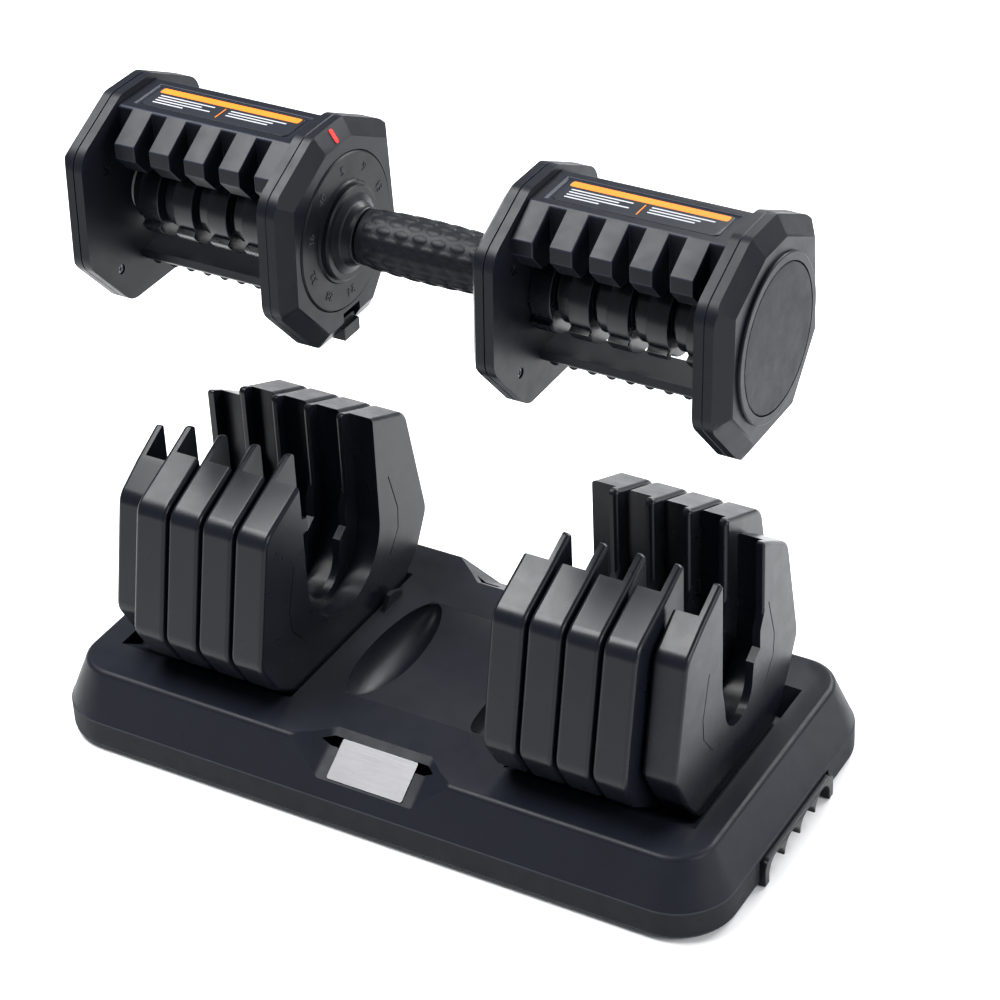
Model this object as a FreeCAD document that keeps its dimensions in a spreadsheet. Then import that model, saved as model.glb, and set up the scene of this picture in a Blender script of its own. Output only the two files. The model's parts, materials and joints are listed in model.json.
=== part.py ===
import FreeCAD, Part
import math
import os

import Sketcher

# Adjustable dumbbell with a twist handle, lifted straight above its storage tray.
# X runs along the handle, -Y is the side with the blank plaque, +Z is up, and the
# origin is the middle of the tray on the surface it stands on. Millimetres throughout.
# Every head piece is drawn about the handle's own axis and then raised to axis_height.

os.makedirs("parts", exist_ok=True)
doc = FreeCAD.newDocument("adjustable_dumbbell")

DIMENSIONS = {
    # tray
    "tray_length": 440,
    "tray_width": 224,
    "tray_corner": 36,
    "skirt_bottom": 1.5,
    "skirt_top": 21,
    "rim_height": 50,
    "rim_inset": 12,
    "rim_width": 3,
    "deck_slope": 8,
    "deck_height": 49,
    "wall": 3,
    "seat_floor": 38,
    "seat_half_width": 70,
    "foot_radius": 9,
    "grip_lip_out": 3.5,
    "finger_pitch": 20.5,
    "finger_radius": 9.6,
    "finger_centre_height": 6,
    # handle and heads, measured from the middle of the handle
    "axis_height": 328,
    "docked_height": 123.5,
    "sleeve_half_length": 40,
    "sleeve_end_radius": 15.5,
    "sleeve_middle_radius": 17.5,
    "axle_radius": 8,
    "axle_half_length": 198.8,
    "tube_radius": 12,
    "tube_half_length": 190,
    "running_gap": 0.05,
    "bush_radius": 16,
    "dial_radius": 45,
    "dial_face": 53.7,
    "hub_radius": 27,
    "hub_face": 49.5,
    "inner_face": 60,
    "ring_face": 54.5,
    "cover_shoulder": 61,
    "inner_seam": 66,
    "bay_start": 72,
    "bay_end": 186,
    "outer_seam": 192,
    "cap_shoulder": 197,
    "cap_bevel_end": 204,
    "cap_end": 206,
    "cap_boss_radius": 46,
    "end_disc_radius": 40.5,
    # flange outline
    "flange_top_y": 15,
    "flange_top_z": 62,
    "flange_eave_y": 57,
    "flange_eave_z": 41,
    "flange_side_y": 60.5,
    "flange_side_z": -25,
    "flange_foot_y": 27,
    "flange_foot_z": -63,
    # saddle and tie bar
    "saddle_top_y": 18,
    "saddle_top_z": 57.5,
    "rib_y": 38.5,
    "rib_top_z": 45,
    "rib_bottom_z": 36,
    "rib_width": 13,
    "rotor_clearance": 28,
    "tie_y": 12,
    "tie_top": -36,
    "tie_bottom": -43.5,
    "tie_tooth_radius": 3.4,
    # locking discs
    "drum_radius": 26,
    "drum_recess_radius": 22.6,
    "drum_width": 12.4,
    "neck_radius": 19,
    "groove_radius": 14,
    "groove_width": 2.8,
    # weight plates
    "plate_pitch": 22.8,
    "plate_gap": 2,
    "plate_first": 72.8,
    "plate_thickness": 20.8,
    "web_thickness": 5,
    "plate_foot_y": 50,
    "plate_foot_z": 38,
    "plate_low_y": 80,
    "plate_low_z": 60,
    "plate_wide_y": 94,
    "plate_wide_z": 84,
    "plate_shoulder_y": 77,
    "plate_shoulder_z": 163,
    "plate_ledge_y": 43.5,
    "plate_ledge_z": 177,
    "plate_horn_y": 17,
    "plate_horn_z": 188.8,
    "small_low_y": 66,
    "small_wide_y": 79,
    "small_shoulder_y": 64,
    "small_shoulder_z": 155,
    "small_ledge_z": 168,
    "small_horn_z": 182.1,
    "slot_half_width": 40,
    "slot_floor": 69,
    "web_slot_front": 20,
    "web_slot_back": 31,
    "web_slot_floor": 73,
    "lip_y": 23.3,
    "lip_rise": 13.4,
    "lip_height": 8,
}

sheet = doc.addObject("Spreadsheet::Sheet", "dims")
for row, (word, value) in enumerate(DIMENSIONS.items(), start=1):
    sheet.set(f"A{row}", word)
    sheet.set(f"B{row}", str(value))
    sheet.setAlias(f"B{row}", word)
doc.recompute()

RIGHT = 1
LEFT = -1
SIDE_NAMES = {LEFT: "left", RIGHT: "right"}
PLATES_PER_SIDE = 5
SMALL_PLATE = 4                      # the outermost plate of each side is the small one
DIAL_POSITIONS = 10
DIAL_STEP = 360 / DIAL_POSITIONS
# dial position from which each plate, inner to outer, is held by its locking disc
FIRST_HELD_AT = {LEFT: [1, 3, 6, 8, 5], RIGHT: [2, 4, 7, 9, 5]}

nodes = {}


# ---------------------------------------------------------------- drawing helpers

def number(term):
    """The value of a plain number, of a word from the sheet, or of its negative."""
    if isinstance(term, str):
        if term.startswith("-"):
            return -float(sheet.get(term[1:]))
        return float(sheet.get(term))
    return float(term)


def formula(term):
    """The same term as an expression on the sheet."""
    if isinstance(term, str) and term.startswith("-"):
        return f"-dims.{term[1:]}"
    if isinstance(term, str):
        return f"dims.{term}"
    return str(term)


def point(across, up):
    return FreeCAD.Vector(number(across), number(up), 0)


def new_body(label, raised=False):
    """A sub-part. Head pieces are raised from the origin to the handle's axis."""
    body = doc.addObject("PartDesign::Body", label)
    body.Label = label
    nodes[label] = body
    if raised:
        body.setExpression("Placement.Base.z", "dims.axis_height")
    return body


def new_sketch(body, role, offset="0", turned=0):
    """A sketch on one of the body's origin planes, moved along that plane's normal."""
    plane = [item for item in body.Origin.OriginFeatures if item.Role == role][0]
    sketch = body.newObject("Sketcher::SketchObject", "outline")
    sketch.AttachmentSupport = [(plane, "")]
    sketch.MapMode = "FlatFace"
    if turned:
        turn = FreeCAD.Rotation(FreeCAD.Vector(1, 0, 0), turned)
        sketch.AttachmentOffset = FreeCAD.Placement(FreeCAD.Vector(), turn)
    else:
        sketch.setExpression("AttachmentOffset.Base.z", offset)
    return sketch


def pin(sketch, kind, geometry, place, term):
    """Holds one coordinate of a point at a value from the sheet."""
    index = sketch.addConstraint(Sketcher.Constraint(kind, -1, 1, geometry, place, number(term)))
    if isinstance(term, str):
        sketch.setExpression(f"Constraints[{index}]", formula(term))


def add_polygon(sketch, corners):
    first = sketch.GeometryCount
    count = len(corners)
    for index, corner in enumerate(corners):
        following = corners[(index + 1) % count]
        sketch.addGeometry(Part.LineSegment(point(*corner), point(*following)), False)
    for index in range(count):
        following = first + (index + 1) % count
        sketch.addConstraint(Sketcher.Constraint("Coincident", first + index, 2, following, 1))
    for index, (across, up) in enumerate(corners):
        pin(sketch, "DistanceX", first + index, 1, across)
        pin(sketch, "DistanceY", first + index, 1, up)


def add_circle(sketch, across, up, radius):
    circle = Part.Circle(point(across, up), FreeCAD.Vector(0, 0, 1), number(radius))
    geometry = sketch.addGeometry(circle, False)
    index = sketch.addConstraint(Sketcher.Constraint("Radius", geometry, number(radius)))
    if isinstance(radius, str):
        sketch.setExpression(f"Constraints[{index}]", formula(radius))
    pin(sketch, "DistanceX", geometry, 3, across)
    pin(sketch, "DistanceY", geometry, 3, up)


def both_sides(corners):
    """Closes a right-hand half outline, listed from the top down, with its mirror image."""
    mirrored = [(opposite(across), up) for across, up in reversed(corners)]
    return corners + mirrored


def opposite(term):
    if isinstance(term, str):
        return term[1:] if term.startswith("-") else "-" + term
    return -term


def extrude(body, sketch, length, adds=True, forward=True, taper=None):
    """Pads or pockets a sketch along its normal, or against it when not forward."""
    kind = "PartDesign::Pad" if adds else "PartDesign::Pocket"
    before = 0 if adds and body.Tip is None else body.Shape.Volume
    feature = body.newObject(kind, "step")
    feature.Profile = sketch
    feature.setExpression("Length", length)
    feature.Reversed = (not forward) if adds else forward
    if taper:
        feature.TaperAngle = taper
    sketch.Visibility = False
    doc.recompute()
    change = body.Shape.Volume - before
    if (adds and change <= 0) or (not adds and change >= 0):
        raise RuntimeError(f"{body.Label}: a step changed the volume by {change:.2f}")
    return feature


def slab(body, shapes, start, end, side=RIGHT, adds=True):
    """Adds or cuts an outline of the YZ plane between two distances from the middle."""
    sign = "" if side == RIGHT else "-"
    sketch = new_sketch(body, "YZ_Plane", f"{sign}({start})")
    draw(sketch, shapes)
    return extrude(body, sketch, f"({end}) - ({start})", adds, forward=(side == RIGHT))


def layer(body, shapes, bottom, top, adds=True, taper=None):
    """Adds or cuts an outline of the XY plane between two heights."""
    sketch = new_sketch(body, "XY_Plane", bottom)
    draw(sketch, shapes)
    return extrude(body, sketch, f"({top}) - ({bottom})", adds, forward=True, taper=taper)


def draw(sketch, shapes):
    """Each shape is a list of corners or a circle given as (across, up, radius)."""
    for shape in shapes:
        if isinstance(shape, tuple):
            add_circle(sketch, *shape)
        else:
            add_polygon(sketch, shape)


def turned_piece(body, profile, side=RIGHT, adds=True, angle=360, middle=0):
    """Turns an outline of distance and radius about the handle's axis."""
    if side == LEFT:
        profile = [(opposite(along), radius) for along, radius in profile]
    sketch = new_sketch(body, "XZ_Plane", turned=middle)
    add_polygon(sketch, profile)
    before = body.Shape.Volume if body.Tip else 0
    kind = "PartDesign::Revolution" if adds else "PartDesign::Groove"
    feature = body.newObject(kind, "turned")
    feature.Profile = sketch
    feature.ReferenceAxis = (sketch, ["H_Axis"])
    feature.Angle = angle
    feature.Midplane = angle < 360
    sketch.Visibility = False
    doc.recompute()
    change = body.Shape.Volume - before
    if (change > 0) != adds:
        raise RuntimeError(f"{body.Label}: a turned step changed the volume by {change:.2f}")
    return feature


def dress(body, kind, size, wanted):
    """Rounds or chamfers the edges of the newest feature that 'wanted' picks."""
    base = body.Tip
    picked = []
    for index, edge in enumerate(base.Shape.Edges, start=1):
        if wanted(edge):
            picked.append(f"Edge{index}")
    feature = body.newObject(f"PartDesign::{kind}", "edges")
    feature.Base = (base, picked)
    if kind == "Fillet":
        feature.Radius = size
    else:
        feature.Size = size
    doc.recompute()
    if not feature.isValid():
        raise RuntimeError(f"{body.Label}: {kind} of {len(picked)} edges failed")
    return feature


def along_x(edge):
    """True for a straight edge that runs along X."""
    if not isinstance(edge.Curve, Part.Line):
        return False
    return abs(edge.Curve.Direction.x) > 0.999


def along_z(edge):
    if not isinstance(edge.Curve, Part.Line):
        return False
    return abs(edge.Curve.Direction.z) > 0.95


def at_x(place):
    """A test for edges that lie wholly in the plane X = place."""
    def test(edge):
        box = edge.BoundBox
        return abs(box.XMin - place) < 0.01 and abs(box.XMax - place) < 0.01
    return test


def at_z(place):
    def test(edge):
        box = edge.BoundBox
        return abs(box.ZMin - place) < 0.01 and abs(box.ZMax - place) < 0.01
    return test


def rectangle(across_from, up_from, across_to, up_to):
    return [(across_from, up_from), (across_to, up_from), (across_to, up_to), (across_from, up_to)]


def centred(half_across, half_up):
    return rectangle(-half_across, -half_up, half_across, half_up)


# ---------------------------------------------------------------- flanges and end caps

FLANGE_OUTLINE = both_sides([
    ("flange_top_y", "flange_top_z"),
    ("flange_eave_y", "flange_eave_z"),
    ("flange_side_y", "flange_side_z"),
    ("flange_foot_y", "flange_foot_z"),
])
FLANGE_CORNER = 15
BEVEL_ANGLE = 56
SCREW_PLACES = [(-36, 25), (36, 25), (-33, -39), (33, -39)]
SCREW_HEAD_RADIUS = 2.8
SCREW_HOLE_RADIUS = 3.0
LOCK_Y = 0
LOCK_WIDTH = 16
LOCK_BOTTOM = -66


def flange_shell(label, side, start, end, bore):
    """One moulded half of a flange, with its rounded outline and a hole for the shaft."""
    body = new_body(label, raised=True)
    slab(body, [FLANGE_OUTLINE], start, end, side)
    dress(body, "Fillet", FLANGE_CORNER, along_x)
    slab(body, [(0, 0, bore)], start, end, side, adds=False)
    return body


def outer_edge(place):
    """Edges of a flange's rim in the plane X = place, without the shaft hole."""
    in_plane = at_x(place)
    return lambda edge: in_plane(edge) and edge.BoundBox.DiagonalLength > 0 and far_out(edge)


def far_out(edge):
    middle = edge.valueAt((edge.FirstParameter + edge.LastParameter) / 2)
    return math.hypot(middle.y, middle.z) > 50


def inner_cover(side):
    """Grip-side shell of an inner flange: it bevels up to the ring that holds the dial."""
    body = new_body(f"{SIDE_NAMES[side]}_inner_cover", raised=True)
    slab(body, [FLANGE_OUTLINE], "dims.cover_shoulder", "dims.inner_seam", side)
    bevelled_rise(body, "dims.cover_shoulder", "dims.ring_face", side, outward=False)
    slab(body, [(0, 0, 45.6)], "dims.ring_face - 1", "dims.inner_face + 0.4", side, adds=False)
    slab(body, [(0, 0, "bush_radius")], "dims.inner_face", "dims.inner_seam", side, adds=False)
    if side == LEFT:
        half = LOCK_WIDTH / 2 + 0.4
        window = rectangle(LOCK_Y - half, -70, LOCK_Y + half, -48)
        slab(body, [window], "dims.ring_face - 1", "dims.inner_seam", side, adds=False)
        channel = rectangle(LOCK_Y - 3.4, -49, LOCK_Y + 3.4, -28)
        slab(body, [channel], "dims.inner_face + 1.2", "dims.inner_seam", side, adds=False)
        slab(body, [(0, 38, 2.6)], "dims.inner_face", "dims.inner_seam", side, adds=False)
    return body


def bevelled_rise(body, shoulder, face, side, outward):
    """Pads the flange outline away from its shoulder, drawn in evenly by the bevel angle."""
    sign = "" if side == RIGHT else "-"
    sketch = new_sketch(body, "YZ_Plane", f"{sign}{shoulder}")
    draw(sketch, [FLANGE_OUTLINE])
    length = f"abs({face} - {shoulder})"
    towards_x = (side == RIGHT) == outward
    extrude(body, sketch, length, forward=towards_x, taper=-BEVEL_ANGLE)
    dress(body, "Fillet", FLANGE_CORNER, runs_outward)


def screw_holes():
    return [(across, up, SCREW_HOLE_RADIUS) for across, up in SCREW_PLACES]


def inner_plate(side):
    """Plate-side shell of an inner flange."""
    name = SIDE_NAMES[side]
    body = flange_shell(f"{name}_inner_plate", side, "dims.inner_seam", "dims.bay_start", "bush_radius")
    dress(body, "Chamfer", 0.8, outer_edge(side * number("inner_seam")))
    slab(body, screw_holes(), "dims.bay_start - 3", "dims.bay_start", side, adds=False)
    return body


def outer_plate(side):
    """Plate-side shell of an outer flange."""
    name = SIDE_NAMES[side]
    body = flange_shell(f"{name}_outer_plate", side, "dims.bay_end", "dims.outer_seam", "bush_radius")
    dress(body, "Chamfer", 0.8, outer_edge(side * number("outer_seam")))
    slab(body, screw_holes(), "dims.bay_end", "dims.bay_end + 3", side, adds=False)
    return body


def end_cap(side):
    """Thick outer cap: a bevelled octagon that rises to a round boss, hollow inside."""
    name = SIDE_NAMES[side]
    body = new_body(f"{name}_end_cap", raised=True)
    slab(body, [FLANGE_OUTLINE], "dims.outer_seam", "dims.cap_shoulder", side)
    bevelled_rise(body, "dims.cap_shoulder", "dims.cap_bevel_end", side, outward=True)
    slab(body, [(0, -1, "cap_boss_radius")], "dims.cap_bevel_end - 1", "dims.cap_end", side)
    dress(body, "Fillet", 1, outer_edge_of_boss(side))
    disc_seat = [(0, -1, 41.1)]
    slab(body, disc_seat, "dims.cap_end - 3", "dims.cap_end", side, adds=False)
    hollow = [both_sides([(14, 50), (44, 30), (46, -20), (27, -52)])]
    slab(body, hollow, "dims.outer_seam", "dims.outer_seam + 7.2", side, adds=False)
    return body


def runs_outward(edge):
    """True for the straight corner edges of the cap, on its wall and on its bevel."""
    if not isinstance(edge.Curve, Part.Line):
        return False
    return abs(edge.Curve.Direction.x) > 0.2


def outer_edge_of_boss(side):
    in_plane = at_x(side * number("cap_end"))
    return lambda edge: in_plane(edge)


def end_disc(side):
    """Round inset cover in the middle of the end cap."""
    body = new_body(f"{SIDE_NAMES[side]}_end_disc", raised=True)
    slab(body, [(0, -1, "end_disc_radius")], "dims.cap_end - 3", "dims.cap_end", side)
    dress(body, "Chamfer", 0.5, at_x(side * number("cap_end")))
    return body


# ---------------------------------------------------------------- saddle, label, tie bar

def saddle(side):
    """Ribbed roof that joins the two flanges of a head. The horns of the plates
    rise through the gaps between its ribs."""
    body = new_body(f"{SIDE_NAMES[side]}_saddle", raised=True)
    section = both_sides([
        ("saddle_top_y", "saddle_top_z"),
        ("rib_y", "rib_top_z"),
        ("rib_y", "rib_bottom_z"),
        (29, 25),
    ])
    slab(body, [section], "dims.bay_start", "dims.bay_end", side)
    slab(body, [(0, 0, "rotor_clearance")], "dims.bay_start", "dims.bay_end", side, adds=False)
    gap_front = rectangle(-50, 10, -19, 70)
    gap_back = rectangle(19, 10, 50, 70)
    for index in range(PLATES_PER_SIDE):
        start = f"dims.bay_start + dims.rib_width + {index} * dims.plate_pitch"
        end = f"dims.bay_start + {index + 1} * dims.plate_pitch"
        if index == SMALL_PLATE:
            end = "dims.bay_end"
        slab(body, [gap_front, gap_back], start, end, side, adds=False)
    panel = [centred_panel(side, 50, 12.5)]
    layer_at_top(body, panel, 1.0)
    return body


def centred_panel(side, half_length, half_width):
    middle = side * (number("bay_start") + number("bay_end")) / 2
    return rectangle(middle - half_length, -half_width, middle + half_length, half_width)


def layer_at_top(body, shapes, depth):
    """Cuts a shallow panel into the flat top of the saddle."""
    top = "dims.saddle_top_z"
    return layer(body, shapes, f"{top} - {depth}", top, adds=False)


def label_panel(side):
    """Thin blank decal in the saddle's recess."""
    body = new_body(f"{SIDE_NAMES[side]}_label", raised=True)
    top = "dims.saddle_top_z"
    layer(body, [centred_panel(side, 47.5, 11)], f"{top} - 1", f"{top} - 0.6")
    dress(body, "Fillet", 3, along_z)
    return body


def tie_bar(side):
    """Bar under the locking discs that ties the flanges together, with round teeth."""
    body = new_body(f"{SIDE_NAMES[side]}_tie_bar", raised=True)
    section = both_sides([("tie_y", "tie_top"), ("tie_y", -41), (9.5, "tie_bottom")])
    slab(body, [section], "dims.bay_start", "dims.bay_end", side)
    pitch = number("plate_pitch") / 2
    first = number("bay_start") + pitch / 2
    teeth = []
    for index in range(2 * PLATES_PER_SIDE):
        teeth.append((side * (first + index * pitch), "tie_bottom", "tie_tooth_radius"))
    sketch = new_sketch(body, "XZ_Plane", "-7")
    draw(sketch, teeth)
    extrude(body, sketch, "14")
    return body


# ---------------------------------------------------------------- shaft and handle

def axle():
    """Steel rod through the whole dumbbell that clamps the heads together."""
    body = new_body("axle", raised=True)
    slab(body, [(0, 0, "axle_radius")], "-dims.axle_half_length", "dims.axle_half_length")
    dress(body, "Chamfer", 1, lambda edge: True)
    return body


def hexagon(radius):
    corners = []
    for index in range(6):
        angle = math.radians(60 * index)
        corners.append((radius * math.cos(angle), radius * math.sin(angle)))
    return corners


def axle_nuts():
    """The two nuts on the ends of the axle, which clamp the outer bushes."""
    shapes = []
    outline = hexagon(15)
    outline.append(outline[0])
    for side in (LEFT, RIGHT):
        start = side * number("outer_seam")
        along = FreeCAD.Vector(side, 0, 0)
        rim = Part.makePolygon([FreeCAD.Vector(start, y, z) for y, z in outline])
        nut = Part.Face(rim).extrude(along * 6)
        hole = Part.makeCylinder(number("axle_radius"), 20, FreeCAD.Vector(start, 0, 0) - along, along)
        shapes.append(nut.cut(hole))
    return group("axle_nuts", shapes, raised=True)


def group(label, shapes, raised=False):
    """Several equal solids kept in one node."""
    feature = doc.addObject("Part::Feature", label)
    feature.Label = label
    feature.Shape = Part.makeCompound(shapes)
    if raised:
        feature.setExpression("Placement.Base.z", "dims.axis_height")
    nodes[label] = feature
    return feature


def handle_tube():
    """Steel tube that turns on the axle and carries the sleeve, dial and locking discs."""
    body = new_body("handle_tube", raised=True)
    slab(body, [(0, 0, "tube_radius")], "-dims.tube_half_length", "dims.tube_half_length")
    bore = number("axle_radius") + number("running_gap")
    slab(body, [(0, 0, bore)], "-dims.tube_half_length", "dims.tube_half_length", adds=False)
    return body


def grip_sleeve():
    """Rubber sleeve, fuller in the middle."""
    body = new_body("grip_sleeve", raised=True)
    sketch = new_sketch(body, "XZ_Plane", "0")
    half = number("sleeve_half_length")
    low = number("sleeve_end_radius")
    high = number("sleeve_middle_radius")
    tube = number("tube_radius")
    ends = [FreeCAD.Vector(-half, low, 0), FreeCAD.Vector(0, high, 0), FreeCAD.Vector(half, low, 0)]
    sketch.addGeometry(Part.Arc(*ends), False)
    corners = [(half, low), (half, tube), (-half, tube), (-half, low)]
    for start, end in zip(corners, corners[1:]):
        sketch.addGeometry(Part.LineSegment(point(*start), point(*end)), False)
    revolution = body.newObject("PartDesign::Revolution", "turned")
    revolution.Profile = sketch
    revolution.ReferenceAxis = (sketch, ["H_Axis"])
    revolution.Angle = 360
    doc.recompute()
    return body


def collar(side):
    """Flared collar between the sleeve and the dial or hub ring."""
    body = new_body(f"{SIDE_NAMES[side]}_collar", raised=True)
    profile = [
        (41, "tube_radius"), (41, 16.2), (44, 16.6), (47, 18.5), ("hub_face", 23),
        ("hub_face", "tube_radius"),
    ]
    turned_piece(body, profile, side)
    return body


def dial(side):
    """Ring that shows the setting. The left one is numbered and has ten detent dimples."""
    name = "left_dial" if side == LEFT else "right_hub"
    body = new_body(name, raised=True)
    face = "dial_face"
    profile = [
        ("hub_face", "tube_radius"), ("hub_face", 26), (50.3, "hub_radius"), (52.4, "hub_radius"),
        (52.4, 28.5), (face, 29.3), (face, 44.2), (54.5, "dial_radius"), (60, "dial_radius"),
        (60, "tube_radius"),
    ]
    turned_piece(body, profile, side)
    if side == LEFT:
        ring = []
        for index in range(DIAL_POSITIONS):
            angle = math.radians(DIAL_STEP * index)
            ring.append((38 * math.sin(angle), 38 * math.cos(angle), 1.6))
        slab(body, ring, "dims.inner_face - 1.2", "dims.inner_face", side, adds=False)
    return body


def bushes():
    """Plain bearing bushes of the handle tube in the four flanges."""
    shapes = []
    places = [("inner_face", "bay_start"), ("bay_end", "outer_seam")]
    for side in (LEFT, RIGHT):
        for start, end in places:
            shift = 0.6 if start == "inner_face" else 0
            base = FreeCAD.Vector(side * (number(start) + shift), 0, 0)
            length = number(end) - number(start) - shift
            direction = FreeCAD.Vector(side, 0, 0)
            outer = Part.makeCylinder(number("bush_radius"), length, base, direction)
            bore = number("tube_radius") + number("running_gap")
            shapes.append(outer.cut(Part.makeCylinder(bore, length, base, direction)))
    return group("bushes", shapes, raised=True)


def locking_disc(side, index):
    """One locking disc: a drum that catches under the plate's lip, a neck that passes the
    plate's web, and a groove. The drum is cut back where its plate has to stay free."""
    body = new_body(f"{SIDE_NAMES[side]}_locking_disc_{index + 1}", raised=True)
    start = number("bay_start") + index * number("plate_pitch") + 0.6
    drum_end = start + number("drum_width")
    end = start + number("plate_pitch")
    if index == SMALL_PLATE:
        end = number("bay_end") - 0.4
    if side == RIGHT:
        groove_start, groove_end = drum_end, drum_end + number("groove_width")
    else:
        groove_start, groove_end = end - number("groove_width"), end
    bore = "tube_radius"
    neck = "neck_radius"
    groove = "groove_radius"
    profile = [(start, bore), (start, "drum_radius"), (drum_end, "drum_radius")]
    if side == RIGHT:
        profile += [(drum_end, groove), (groove_end, groove), (groove_end, neck), (end, neck)]
    else:
        profile += [(drum_end, neck), (groove_start, neck), (groove_start, groove), (end, groove)]
    profile.append((end, bore))
    turned_piece(body, profile, side)
    free_steps = FIRST_HELD_AT[side][index] - 1
    free_angle = 60 + free_steps * DIAL_STEP
    middle = free_middle(free_steps)
    recess = rectangle(start - 1, "drum_recess_radius", drum_end, 30)
    turned_piece(body, recess, side, adds=False, angle=free_angle, middle=middle)
    return body


def free_middle(free_steps):
    """Turn from straight up to the middle of a drum's cut-back arc. The arc starts
    30 degrees below the front of the handle and runs up and over the top from there."""
    front = 90
    return front - free_steps * DIAL_STEP / 2


# ---------------------------------------------------------------- safety lock and detent

def lock_tab():
    """Stepped tab that the tray pushes up to free the dial."""
    body = new_body("lock_tab", raised=True)
    half = LOCK_WIDTH / 2
    foot = rectangle(LOCK_Y - half, LOCK_BOTTOM, LOCK_Y + half, -58)
    head = rectangle(LOCK_Y - half, -58, LOCK_Y + half, -54.5)
    slab(body, [foot], "dims.inner_face - 5", "dims.inner_seam - 0.4", LEFT)
    slab(body, [head], "dims.inner_face - 2", "dims.inner_seam - 0.4", LEFT)
    stem = rectangle(LOCK_Y - 3, -54.5, LOCK_Y + 3, -46)
    slab(body, [stem], "dims.inner_face + 1.6", "dims.inner_seam - 0.4", LEFT)
    return body


def coil(label, radius, wire, pitch, length, base, direction):
    """A compression spring wound round a straight line."""
    helix = Part.makeHelix(pitch, length, radius)
    section = Part.Wire(Part.Circle(FreeCAD.Vector(radius, 0, 0), FreeCAD.Vector(0, 1, 0), wire).toShape())
    spring = Part.Wire(helix).makePipeShell([section], True, True)
    spring.Placement = FreeCAD.Placement(base, FreeCAD.Rotation(FreeCAD.Vector(0, 0, 1), direction))
    return group(label, [spring], raised=True)


def lock_spring():
    seat = FreeCAD.Vector(-number("inner_face") - 3.6, LOCK_Y, -45.5)
    return coil("lock_spring", 1.6, 0.35, 2.4, 17, seat, FreeCAD.Vector(0, 0, 1))


def detent_ball():
    centre = FreeCAD.Vector(-number("inner_face") - 2.1, 0, 38)
    return group("detent_ball", [Part.makeSphere(2.0, centre)], raised=True)


def detent_spring():
    seat = FreeCAD.Vector(-number("inner_face") - 4.4, 0, 38)
    return coil("detent_spring", 1.7, 0.3, 0.7, 1.2, seat, FreeCAD.Vector(-1, 0, 0))


def index_mark():
    """Red pointer on the bevel of the left inner flange, above the dial."""
    body = new_body("index_mark")
    layer(body, [centred(4.2, 1.5)], "0.01", "0.5")
    dress(body, "Fillet", 1.2, along_z)
    along = 3.25
    fall = math.tan(math.radians(BEVEL_ANGLE)) * along
    height = number("axis_height") + number("flange_top_z") - fall
    middle = FreeCAD.Vector(along - number("cover_shoulder"), 0, height)
    body.Placement = FreeCAD.Placement(middle, FreeCAD.Rotation(FreeCAD.Vector(0, 1, 0), BEVEL_ANGLE))
    return body


def screws(label, places, head, shank, length, raised):
    """Pan-head screws with a cross recess."""
    shapes = []
    for base, direction in places:
        top = Part.makeCylinder(head, 1.8, base, direction)
        body = Part.makeCylinder(shank, length, base + direction * 1.8, direction)
        screw = top.fuse(body)
        for turn in (0, 90):
            bar = Part.makeBox(head * 1.3, 0.8, 1.0, FreeCAD.Vector(-head * 0.65, -0.4, -0.01))
            bar.rotate(FreeCAD.Vector(), FreeCAD.Vector(0, 0, 1), turn)
            rotation = FreeCAD.Rotation(FreeCAD.Vector(0, 0, 1), direction)
            bar.Placement = FreeCAD.Placement(base, rotation).multiply(bar.Placement)
            screw = screw.cut(bar)
        shapes.append(screw)
    return group(label, shapes, raised)


def flange_screws():
    """Screws that hold the flange halves together, seen from inside the plate bays."""
    places = []
    for side in (LEFT, RIGHT):
        for across, up in SCREW_PLACES:
            inner = FreeCAD.Vector(side * (number("bay_start") - 0.8), across, up)
            places.append((inner, FreeCAD.Vector(-side, 0, 0)))
            outer = FreeCAD.Vector(side * (number("bay_end") + 0.8), across, up)
            places.append((outer, FreeCAD.Vector(side, 0, 0)))
    return screws("flange_screws", places, SCREW_HEAD_RADIUS, 1.5, 0.4, raised=True)


# ---------------------------------------------------------------- weight plates

def plate(side, index):
    """Iron weight plate with a U-shaped slot. Its outer face is a thin web that rises to
    a horn each side of a narrow slot; the rest of its thickness has a wide slot."""
    small = index == SMALL_PLATE
    body = new_body(f"{SIDE_NAMES[side]}_plate_{index + 1}")
    start = f"dims.plate_first + {index} * dims.plate_pitch"
    web = f"{start} + dims.plate_thickness - dims.web_thickness"
    end = f"{start} + dims.plate_thickness"
    outline = small_outline() if small else big_outline()
    slab(body, [outline], start, end, side)
    dress(body, "Fillet", 13, shoulder_edges)
    face_edges = lambda edge: not along_x(edge) and flat_in_x(edge)
    dress(body, "Fillet", 2.6, face_edges)
    slab(body, [plain_slot()], start, f"{start} + 8", side, adds=False)
    slab(body, [wide_slot()], start, web, side, adds=False)
    slab(body, [narrow_slot()], web, end, side, adds=False)
    dress(body, "Fillet", 1.5 if small else 3, web_tips)
    for place, depth_end in ((start, f"{start} + 0.5"), (f"{end} - 0.5", end)):
        slab(body, face_grooves(small), place, depth_end, side, adds=False)
    return body


def big_outline():
    return both_sides([
        ("plate_horn_y", "plate_horn_z"),
        ("plate_ledge_y", "plate_ledge_z"),
        ("plate_shoulder_y", "plate_shoulder_z"),
        ("plate_wide_y", "plate_wide_z"),
        ("plate_low_y", "plate_low_z"),
        ("plate_foot_y", "plate_foot_z"),
    ])


def small_outline():
    return both_sides([
        ("plate_horn_y", "small_horn_z"),
        ("plate_ledge_y", "small_ledge_z"),
        ("small_shoulder_y", "small_shoulder_z"),
        ("small_wide_y", "plate_wide_z"),
        ("small_low_y", "plate_low_z"),
        ("plate_foot_y", "plate_foot_z"),
    ])


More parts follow.
